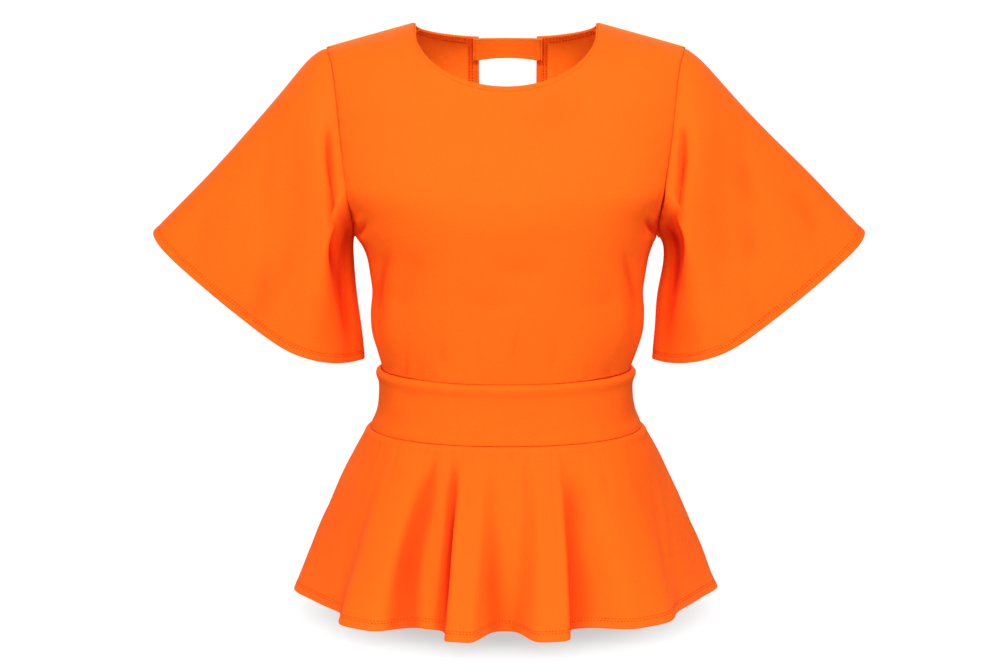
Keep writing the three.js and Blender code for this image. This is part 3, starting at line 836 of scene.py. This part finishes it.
def front_bodice():
    across = 2 * steps(BODICE_GIRTH, 2.3) - 1
    u, v = bodice_grid("front", across)
    base = bodice_points("front", u, v)
    reach = edge_distances(base)
    relief = bodice_relief("front", base, reach) + neck_form(base[-1:, :, 0], reach["top"])
    points = raised(base, relief)
    at_neck = np.abs(base[-1:, :, 0]) < NECK_HALF
    hem_cloth = lerp(NECK_HEM_CLOTH, CLOTH, ease(reach["top"], *NECK_HEM_END))
    thickness = np.where(at_neck, hem_cloth, CLOTH)
    neck = np.where(at_neck, reach["top"], NO_EDGE)
    shade = troughs(relief) + seam_shade(from_side_seams(reach))
    piece, cloth = shell("front_bodice_cloth", points, thickness, rim=neck, shade=shade)
    wear(piece, "front_bodice")
    return cloth


def slot_distance(x, z):
    """Distance from the round-ended slot's edge, below zero inside it."""
    aside = np.abs(x - SLOT_CENTRE)
    return np.where(z > SLOT_ROUND_Z, aside, np.hypot(aside, z - SLOT_ROUND_Z)) - SLOT_HALF


def onto_slot(x, z):
    """Moves points straight out from the slot's middle onto its edge."""
    aside, below = x - SLOT_CENTRE, np.minimum(z - SLOT_ROUND_Z, 0)
    share = SLOT_HALF / np.maximum(np.hypot(aside, below), 1e-6)
    return SLOT_CENTRE + aside * share, np.where(below < 0, SLOT_ROUND_Z + below * share, z)


def back_bodice():
    plain = 2 * steps(BODICE_GIRTH, 2.6) - 1
    first, last = SLOT_COLUMNS
    close = np.linspace(first, last, 40)
    clear = (np.abs(plain) < first - COLUMN_GAP) | (np.abs(plain) > last + COLUMN_GAP)
    across = np.unique(np.concatenate([plain[clear], close, -close]))
    u, v = bodice_grid("back", across)
    base = bodice_points("back", u, v)
    x, z = base[..., 0], base[..., 2]
    centres = [(c[:-1, :-1] + c[1:, :-1] + c[:-1, 1:] + c[1:, 1:]) / 4 for c in (x, z)]
    keep = slot_distance(*centres) > 0
    around = np.pad(keep, 1, mode="edge")
    touching = np.stack([around[:-1, :-1], around[1:, :-1], around[:-1, 1:], around[1:, 1:]])
    on_edge = touching.any(0) & ~touching.all(0)
    edge_x, edge_z = onto_slot(x, z)
    x, z = np.where(on_edge, edge_x, x), np.where(on_edge, edge_z, z)
    base = np.stack([x, bodice_y("back", x, z), z], -1)
    reach = edge_distances(base)
    beside_slot = slot_distance(x, z)
    quiet = ease(beside_slot, *QUIET_AT_SLOT)
    relief = bodice_relief("back", base, reach) * quiet
    slot_reach = np.maximum(beside_slot, 0)
    relief += neck_form(base[-1:, :, 0], reach["top"]) * quiet + hem_form(slot_reach, SLOT_ROWS, 0.25)
    points = raised(base, relief)
    neck = np.where(np.abs(base[-1:, :, 0]) < NECK_HALF, reach["top"], NO_EDGE)
    rim = np.minimum(slot_reach, neck)
    shade = troughs(relief) + seam_shade(from_side_seams(reach))
    piece, _ = shell("back_bodice_cloth", points, CLOTH, keep=keep, rim=rim, shade=shade)
    wear(piece, "back_bodice")


def back_normal(x, z):
    step = 0.5
    slope_x = (bodice_y("back", x + step, z) - bodice_y("back", x - step, z)) / (2 * step)
    slope_z = (bodice_y("back", x, z + step) - bodice_y("back", x, z - step)) / (2 * step)
    normal = np.stack([-slope_x, np.ones_like(x), -slope_z], -1)
    return normal / np.linalg.norm(normal, axis=-1, keepdims=True)


def inside_back(x, z, depth):
    """Points inside the back panel, as deep under its outer face as is asked."""
    place = np.stack([x, bodice_y("back", x, z), z], -1)
    return place - back_normal(x, z) * np.asarray(depth)[..., None]


def slot_spine(turn):
    """The slot's edge from the wearer's left over its round end to the right; turn runs from 0 to 1."""
    along = turn * SLOT_EDGE
    arc = np.clip((along - SLOT_STRAIGHT) / SLOT_HALF, 0, math.pi)
    fall = np.minimum(along, SLOT_STRAIGHT)
    climb = np.maximum(along - SLOT_STRAIGHT - math.pi * SLOT_HALF, 0)
    return arc, SLOT_ROUND_Z + SLOT_STRAIGHT - fall + climb


def slot_facing():
    turn, out = np.meshgrid(steps(SLOT_EDGE, 1.8), steps(SLOT_FACING_WIDTH, 0.8))
    arc, z = slot_spine(turn)
    out = SLOT_HALF + 0.2 + out * (SLOT_FACING_WIDTH - 0.4)
    x = SLOT_CENTRE + out * np.cos(arc)
    z = z - out * np.sin(arc)
    width = out - SLOT_HALF
    groove = 0.25 * sum(bell(width - row, 0.7) for row in SLOT_ROWS)
    curl = 0.35 * waves(np.stack([x, z * 0, z], -1), 31, 26, 1) * ease(width, 7, 12)
    points = inside_back(x, z, SLOT_FACING_DEPTH - groove + np.abs(curl))
    piece, _ = shell("back_slot_facing_cloth", points, FACING_CLOTH, hems=("bottom", "top"))
    wear(piece, "back_slot_facing")


def neck_facing_place(side, share, below):
    """A place on the turned edge of the back neck, by its share of the way in to the slot."""
    slot_x = SLOT_HALF + SLOT_FACING_WIDTH + 1 + side * SLOT_CENTRE
    reach = NECK_HALF + below
    turn = lerp(NECK_FACING_START, np.arcsin(slot_x / reach), share)
    return side * reach * np.sin(turn), NECK_POINT_Z - (BACK_NECK_DROP + below) * np.cos(turn)


def neck_facing(side):
    share, below = np.meshgrid(steps(60, 1.8), steps(NECK_FACING_WIDTH, 0.8))
    below = 0.5 + below * (NECK_FACING_WIDTH - 0.5)
    x, z = neck_facing_place(side, share, below)
    groove = 0.25 * sum(bell(below - row, 0.6) for row in NECK_ROWS)
    points = inside_back(x, z, NECK_FACING_DEPTH - groove)
    if side < 0:
        points = points[:, ::-1]
    name = "back_neck_facing_left" if side > 0 else "back_neck_facing_right"
    piece, _ = shell(name + "_cloth", points, FACING_CLOTH, hems=("bottom", "top"))
    wear(piece, name)


def neck_strap():
    across, up = np.meshgrid(steps(2 * STRAP_HALF, 1.6), steps(STRAP_WIDTH, 1.2))
    x = SLOT_CENTRE + STRAP_HALF * (1 - 2 * across)
    share = (x - SLOT_CENTRE) / STRAP_HALF
    arch = STRAP_ARCH * (1 - share**2) * (1 - up)
    z = STRAP_TOP_Z - STRAP_WIDTH * (1 - up) + arch
    lift = 0.5 * bell(np.abs(share) - 0.83, 0.06)
    points = inside_back(x, z, STRAP_DEPTH + lift + 0.25 * np.sin(up * math.pi))
    piece, _ = shell("neck_strap_cloth", points, STRAP_CLOTH, hems=("bottom", "top", "left", "right"))
    wear(piece, "neck_strap")


# Waistband and peplum

BAND_GIRTH = 400
BAND_HEIGHT = 64


def band_panel(name, start, end, seed):
    angle, v = np.meshgrid(lerp(start, end, steps(BAND_GIRTH, 2.4)), steps(BAND_HEIGHT, 1.6))
    base = band_points(angle, v)
    reach = edge_distances(base)
    form = waves(base, seed, 60, 0.35) + waves(base, seed + 1, 22, 0.12)
    form += ditch(reach["bottom"], 0.35, 1.8) + ditch(reach["top"], 0.4, 1.6)
    form += ditch(from_side_seams(reach), 0.4, 1.8)
    swell = 0.12 * bell(reach["top"] - 5, 2.6)
    form += swell * (1 + 0.35 * waves(base, seed + 2, 30, 1))
    piece, _ = shell(name + "_cloth", raised(base, form), CLOTH)
    return wear(piece, name)


# The places of these creases run along the seam from the panel's middle, and down from it.
PEPLUM_CREASES = (
    ((-86, 2), (-110, 90), (-138, 250), 15, -7),
    ((-64, 4), (-74, 90), (-68, 300), 7, -5),
    ((-94, 60), (-100, 120), (-104, 290), 8, 2.6),
    ((-58, 2), (-55, 100), (-54, 280), 6, 2.0),
    ((-4, 4), (6, 90), (8, 280), 15, 2.2),
    ((66, 2), (64, 90), (60, 280), 5, 1.8),
    ((82, 6), (92, 100), (108, 290), 14, -1.6),
    ((200, 20), (206, 90), (200, 260), 9, 1.0),
    ((-164, 20), (-188, 110), (-210, 280), 10, 1.0),
    ((-84, 3), (-90, 26), (-100, 60), 5, -0.7),
    ((24, 3), (25, 30), (22, 70), 5, -0.7),
    ((110, 2), (116, 30), (130, 74), 6, -0.8),
    ((-130, 3), (-138, 34), (-150, 80), 6, -0.8),
    ((150, 4), (160, 40), (176, 90), 7, -0.8),
    ((-166, 4), (-178, 40), (-196, 96), 7, -0.8),
)
PEPLUM_COLUMNS = 300
PEPLUM_SPREAD = 0.35
PEPLUM_GATHER_HALF = 215


def even_angles(start, end, count):
    """Angles that divide the folded hem into steps of even length."""
    fine = np.linspace(start, end, count * 12)
    hem = peplum_points(fine, np.ones_like(fine))
    reach = np.concatenate([[0], np.cumsum(np.linalg.norm(np.diff(hem, axis=0), axis=-1))])
    return np.interp(steps(reach[-1], reach[-1] / count) * reach[-1], reach, fine)


def peplum_panel(name, start, end, seed):
    down = PEPLUM_TOP_Z - PEPLUM_HEM_Z
    angle, up = np.meshgrid(even_angles(start, end, PEPLUM_COLUMNS), steps(down, 2.2))
    t = 1 - up
    base = peplum_points(angle, t)
    reach = edge_distances(base)
    middle = (start + end) / 2
    across = (angle - middle) * PEPLUM_TOP["half"] * (1 + PEPLUM_SPREAD * t)
    form = creases(across, t * down, PEPLUM_CREASES)
    form += waves(base, seed, 70, 0.7) * ease(t, 0.02, 0.3)
    form += gathers(across, t * down, PEPLUM_GATHER_HALF, seed + 1)
    form += ditch(reach["top"], 0.45, 1.8) + ditch(from_side_seams(reach), 0.4, 1.8)
    form += hem_form(reach["bottom"], PEPLUM_ROWS)
    form += waves(base, seed + 2, 17, 0.28) * bell(reach["bottom"] - 6, 8)
    wall = hem_thickness(reach["bottom"])
    piece, cloth = shell(name + "_cloth", raised(base, form), wall, hems=["bottom"], shade=troughs(form))
    wear(piece, name)
    return piece, cloth


# Sleeves

# The places of these creases are the distance from the centre of the body, and z.
SLEEVE_CREASES = (
    ((204, -40), (206, -170), (202, -340), 12, 1.6),
    ((234, -40), (252, -150), (250, -310), 12, -1.2),
    ((178, -50), (178, -190), (150, -350), 11, -10),
    ((178, -70), (176, -150), (168, -240), 7, -3.5),
    ((172, -104), (169, -186), (162, -270), 8, -3.4),
    ((262, -90), (286, -170), (292, -260), 13, 0.9),
    ((168, -110), (166, -190), (156, -270), 5, 2.2),
    ((300, -140), (316, -180), (322, -226), 11, -0.7),
)
SLEEVE_COLUMNS = 250
SLEEVE_LENGTH = 250

# Creases fade out where the front and back of the sleeve come together, by the depth of the sleeve there
SLEEVE_NARROWS = (8, 38)


def sleeve_tube(sleeve, seed):
    angle = np.linspace(0, 2 * math.pi, SLEEVE_COLUMNS, endpoint=False)
    if sleeve["side"] > 0:
        angle = angle[::-1]
    angle, up = np.meshgrid(angle, steps(SLEEVE_LENGTH, 2.4))
    t = 1 - up
    base = sleeve_points(sleeve, angle, t)
    reach = edge_distances(base, closed=True)
    x, z = np.abs(base[..., 0]), base[..., 2]
    where_wide = ease(np.abs(base[..., 1] - SEAM_PLANE_Y), *SLEEVE_NARROWS)
    form = creases(x, z, SLEEVE_CREASES) * ease(t, 0.005, 0.07) * where_wide
    form += waves(base, seed, 75, 0.8) * ease(t, 0.02, 0.3)
    form += ditch(reach["top"], 0.45, 2.2)
    form += waves(base, seed + 1, 13, 0.3) * bell(reach["top"], 10)
    form += hem_form(reach["bottom"], CUFF_ROWS)
    form += waves(base, seed + 2, 16, 0.26) * bell(reach["bottom"] - 6, 7)
    points = raised(base, form, closed=True)
    wall = hem_thickness(reach["bottom"])
    shade = troughs(form) + seam_shade(reach["top"])
    name = sleeve["name"]
    piece, cloth = shell(name + "_cloth", points, wall, closed=True, hems=["bottom"], shade=shade)
    wear(piece, name)
    return cloth


# Stitches

def stitch_tree():
    """Lays a short rounded thread at even steps along every line of a mesh."""
    tree = bpy.data.node_groups.new("stitch_rows", "GeometryNodeTree")
    face = tree.interface
    face.new_socket("Geometry", in_out="INPUT", socket_type="NodeSocketGeometry")
    for name, value in (("Pitch", 0.003), ("Stitch length", 0.0024), ("Thread width", 0.0006)):
        socket = face.new_socket(name, in_out="INPUT", socket_type="NodeSocketFloat")
        socket.default_value = value
    face.new_socket("Seed", in_out="INPUT", socket_type="NodeSocketInt")
    face.new_socket("Thread", in_out="INPUT", socket_type="NodeSocketMaterial")
    face.new_socket("Geometry", in_out="OUTPUT", socket_type="NodeSocketGeometry")
    node = tree.nodes.new
    given = node("NodeGroupInput")
    curve = node("GeometryNodeMeshToCurve")
    resample = node("GeometryNodeResampleCurve")
    resample.mode = "LENGTH"
    tangent = node("GeometryNodeInputTangent")
    turn = node("FunctionNodeAlignRotationToVector")
    turn.axis = "X"
    thread = node("GeometryNodeMeshUVSphere")
    socket_value(thread, {"Segments": 6, "Rings": 4, "Radius": 0.5})
    size = node("ShaderNodeCombineXYZ")
    uneven = node("FunctionNodeRandomValue")
    uneven.data_type = "FLOAT"
    socket_value(uneven, {"Min": 0.85, "Max": 1.1})
    stretched = node("ShaderNodeVectorMath")
    stretched.operation = "SCALE"
    place = node("GeometryNodeInstanceOnPoints")
    realize = node("GeometryNodeRealizeInstances")
    paint = node("GeometryNodeSetMaterial")
    result = node("NodeGroupOutput")
    wire(
        tree,
        (given, "Geometry", curve, "Mesh"),
        (curve, "Curve", resample, "Curve"),
        (given, "Pitch", resample, "Length"),
        (tangent, "Tangent", turn, "Vector"),
        (given, "Stitch length", size, "X"),
        (given, "Thread width", size, "Y"),
        (given, "Thread width", size, "Z"),
        (given, "Seed", uneven, "Seed"),
        (size, "Vector", stretched, "Vector"),
        (uneven, "Value", stretched, "Scale"),
        (resample, "Curve", place, "Points"),
        (thread, "Mesh", place, "Instance"),
        (turn, "Rotation", place, "Rotation"),
        (stretched, "Vector", place, "Scale"),
        (place, "Instances", realize, "Geometry"),
        (realize, "Geometry", paint, "Geometry"),
        (given, "Thread", paint, "Material"),
        (paint, "Geometry", result, "Geometry"),
    )
    return tree


def stitches(name, rows, seed, pitch=3.4, length=2.1, width=0.75):
    """One mesh of stitches along several rows of points, with its sizes in millimetres."""
    starts = np.cumsum([0] + [len(row) for row in rows])
    places = np.concatenate(rows) * MM
    edges = [(i, i + 1) for first, row in zip(starts, rows) for i in range(first, first + len(row) - 1)]
    mesh = bpy.data.meshes.new(name + "_line")
    mesh.from_pydata(places.tolist(), edges, [])
    line = bpy.data.objects.new(name + "_line", mesh)
    bpy.context.scene.collection.objects.link(line)
    modifier = line.modifiers.new("stitches", "NODES")
    modifier.node_group = STITCHES
    values = {
        "Pitch": pitch * MM,
        "Stitch length": length * MM,
        "Thread width": width * MM,
        "Seed": seed,
        "Thread": SHADED_THREAD,
    }
    for item in STITCHES.interface.items_tree:
        if item.in_out == "INPUT" and item.name in values:
            modifier[item.identifier] = values[item.name]
    bpy.context.view_layer.update()
    depsgraph = bpy.context.evaluated_depsgraph_get()
    sewn = bpy.data.meshes.new_from_object(line.evaluated_get(depsgraph), depsgraph=depsgraph)
    bpy.data.objects.remove(line)
    piece = bpy.data.objects.new(name, sewn)
    bpy.context.scene.collection.objects.link(piece)
    for polygon in sewn.polygons:
        polygon.use_smooth = True
    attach(piece, "root")
    return piece


def row_near(cloth, edge, distance, where=None, closed=False):
    """Points on the cloth at one distance from its edge, column by column."""
    reach = cloth["reach"][edge]
    outer, normal = cloth["outer"], cloth["normal"]
    line = []
    for column in range(reach.shape[1]):
        order = np.argsort(reach[:, column])
        there = [np.interp(distance, reach[order, column], outer[order, column, k]) for k in range(3)]
        facing = [np.interp(distance, reach[order, column], normal[order, column, k]) for k in range(3)]
        line.append(np.array(there) + np.array(facing) * ROW_LIFT)
    line = np.array(line)
    if where is not None:
        line = line[where]
    return np.concatenate([line, line[:1]]) if closed else line


def facing_rows():
    """Two rows of stitches on the inner face of the turned edge round the slot."""
    arc, z = slot_spine(np.linspace(0.004, 0.996, 240))
    rows = []
    for width in SLOT_ROWS:
        out = SLOT_HALF + width
        x = SLOT_CENTRE + out * np.cos(arc)
        rows.append(inside_back(x, z - out * np.sin(arc), np.full(x.shape, SLOT_ROW_DEPTH)))
    return rows


def neck_facing_rows(side):
    share = np.linspace(0.03, 0.97, 60)
    rows = []
    for below in NECK_ROWS:
        x, z = neck_facing_place(side, share, below)
        rows.append(inside_back(x, z, np.full(x.shape, NECK_ROW_DEPTH)))
    return rows


def strap_rows():
    """A row of stitches down each end of the strap, on its inner face."""
    z = np.linspace(STRAP_TOP_Z - STRAP_WIDTH + 2, STRAP_TOP_Z - 2, 12)
    ends = (SLOT_CENTRE - STRAP_HALF + 2.2, SLOT_CENTRE + STRAP_HALF - 2.2)
    return [inside_back(np.full(z.shape, x), z, np.full(z.shape, STRAP_ROW_DEPTH)) for x in ends]


# All pieces

STITCHES = stitch_tree()
front = front_bodice()
back_bodice()
slot_facing()
for side in (-1, 1):
    neck_facing(side)
neck_strap()
sleeves = [sleeve_tube(sleeve, seed) for sleeve, seed in ((RIGHT_SLEEVE, 41), (LEFT_SLEEVE, 47))]
band_front = band_panel("waistband_front", -QUARTER, QUARTER, 51)
band_back = band_panel("waistband_back", QUARTER, 3 * QUARTER, 56)
peplum_front_piece, peplum_front = peplum_panel("peplum_front", -QUARTER, QUARTER, 61)
peplum_back_piece, peplum_back = peplum_panel("peplum_back", QUARTER, 3 * QUARTER, 67)

at_neck = np.abs(front["outer"][-1, :, 0]) < NECK_HALF - 1
stitches("neck_stitches", [row_near(front, "top", NECK_ROW, where=at_neck)], 1, pitch=3.0, width=0.5)
for cloth, name in zip(sleeves, ("right", "left")):
    rows = [row_near(cloth, "bottom", distance, closed=True) for distance in CUFF_ROWS]
    stitches(name + "_cuff_stitches", rows, 2)
for cloth, name, seed in ((peplum_front, "front", 3), (peplum_back, "back", 4)):
    rows = [row_near(cloth, "bottom", distance) for distance in PEPLUM_ROWS]
    stitches(name + "_hem_stitches", rows, seed)
stitches("slot_stitches", facing_rows(), 5, length=2.0, width=1.0)
stitches("neck_facing_stitches", neck_facing_rows(-1) + neck_facing_rows(1), 6, length=1.9, width=1.0)
stitches("strap_stitches", strap_rows(), 7, pitch=2.8, length=1.6, width=1.0)

# Studio

FLOOR_Z = -598
CAMERA_PITCH = 8.3
CAMERA_X = -2
CAMERA_AIM_Z = -301.6
CAMERA_REACH = 1804
CAMERA_LENS = 60.68
FLOOR_RADIUS = 320
FLOOR_SIDES = 64

# The shadow painted on the floor: its scale across, and the glow of the paper at its middle
SHADE_SCALE = (3.9, 5.0, 0)
SHADE_GLOW = 0.56

# Strength of the studio, as a light and as the camera sees it
STUDIO_LIGHT = 0.16
STUDIO_SEEN = 1.15

# Each light's place, the height it aims at, its width and height, all in metres, and its watts
LIGHTS = {
    "left_softbox": ((-0.62, -1.5, 1.25), -0.2, 0.6, 0.5, 24.5),
    "right_softbox": ((0.62, -1.5, 1.25), -0.2, 0.6, 0.5, 22.5),
    "left_fill": ((-1.0, -1.9, -0.15), -0.28, 0.5, 0.8, 5),
    "right_fill": ((1.0, -1.9, -0.15), -0.28, 0.5, 0.8, 4),
    "left_low_fill": ((-1.7, -1.2, -0.45), -0.42, 0.4, 0.5, 8),
    "right_low_fill": ((1.7, -1.2, -0.45), -0.42, 0.4, 0.5, 8),
    "front_fill": ((0, -2.1, 0.2), -0.1, 0.9, 0.3, 13),
    "back_left_softbox": ((1.0, 1.8, 1.2), -0.25, 0.8, 0.6, 30),
    "back_right_softbox": ((-1.0, 1.8, 1.2), -0.25, 0.8, 0.6, 36),
}


def paper_floor():
    """A round sheet of white paper, with a soft shadow painted under the blouse."""
    turns = np.linspace(0, 2 * math.pi, FLOOR_SIDES, endpoint=False)
    rim = np.stack([FLOOR_RADIUS * np.cos(turns), FLOOR_RADIUS * np.sin(turns), turns * 0 + FLOOR_Z], -1)
    mesh = bpy.data.meshes.new("paper_floor")
    mesh.from_pydata((rim * MM).tolist(), [], [list(range(FLOOR_SIDES))])
    paper = bpy.data.objects.new("paper_floor", mesh)
    bpy.context.scene.collection.objects.link(paper)
    material = bpy.data.materials.new("white_paper")
    material.use_nodes = True
    tree = material.node_tree
    surface = tree.nodes["Principled BSDF"]
    socket_value(surface, {
        "Base Color": (0.06, 0.06, 0.06, 1),
        "Roughness": 1,
        "Specular IOR Level": 0,
        "Emission Color": (1, 1, 1, 1),
    })
    place = tree.nodes.new("ShaderNodeTexCoord")
    oval = tree.nodes.new("ShaderNodeMapping")
    socket_value(oval, {"Scale": SHADE_SCALE})
    away = tree.nodes.new("ShaderNodeVectorMath")
    away.operation = "LENGTH"
    # Painted shadow: the paper glows less in an oval under the blouse.
    glow = tree.nodes.new("ShaderNodeMapRange")
    glow.interpolation_type = "SMOOTHSTEP"
    socket_value(glow, {"From Min": 0.5, "From Max": 1.0, "To Min": SHADE_GLOW, "To Max": 1.0})
    wire(
        tree,
        (place, "Object", oval, "Vector"),
        (oval, "Vector", away, 0),
        (away, "Value", glow, "Value"),
        (glow, "Result", surface, "Emission Strength"),
    )
    paper.data.materials.append(material)


def softbox(name, place, aim_z, width, height, power):
    light = bpy.data.lights.new(name, "AREA")
    light.shape = "RECTANGLE"
    light.size = width
    light.size_y = height
    light.energy = power
    lamp = bpy.data.objects.new(name, light)
    bpy.context.scene.collection.objects.link(lamp)
    lamp.location = place
    direction = np.array((0, 0, aim_z)) - np.array(place)
    yaw = math.atan2(direction[0], direction[1])
    tilt = math.atan2(direction[2], math.hypot(direction[0], direction[1]))
    lamp.rotation_euler = (QUARTER + tilt, 0, -yaw)


paper_floor()
for name, light in LIGHTS.items():
    softbox(name, *light)

# The studio is white to the camera and throws only a weak warm light.
world = bpy.data.worlds.new("studio")
world.use_nodes = True
studio = world.node_tree
rays = studio.nodes.new("ShaderNodeLightPath")
strength = studio.nodes.new("ShaderNodeMix")
socket_value(strength, {"A": STUDIO_LIGHT, "B": STUDIO_SEEN})
background = studio.nodes["Background"]
socket_value(background, {"Color": (1, 0.93, 0.88, 1)})
wire(studio, (rays, "Is Camera Ray", strength, "Factor"), (strength, "Result", background, "Strength"))
bpy.context.scene.world = world

pitch = math.radians(CAMERA_PITCH)
lens = bpy.data.cameras.new("camera")
lens.sensor_width = 36
lens.lens = CAMERA_LENS
camera = bpy.data.objects.new("camera", lens)
bpy.context.scene.collection.objects.link(camera)
camera.location = (
    CAMERA_X * MM,
    -CAMERA_REACH * math.cos(pitch) * MM,
    (CAMERA_AIM_Z + CAMERA_REACH * math.sin(pitch)) * MM,
)
camera.rotation_euler = (QUARTER - pitch, 0, 0)
bpy.context.scene.camera = camera
bpy.context.scene.view_settings.view_transform = "Standard"
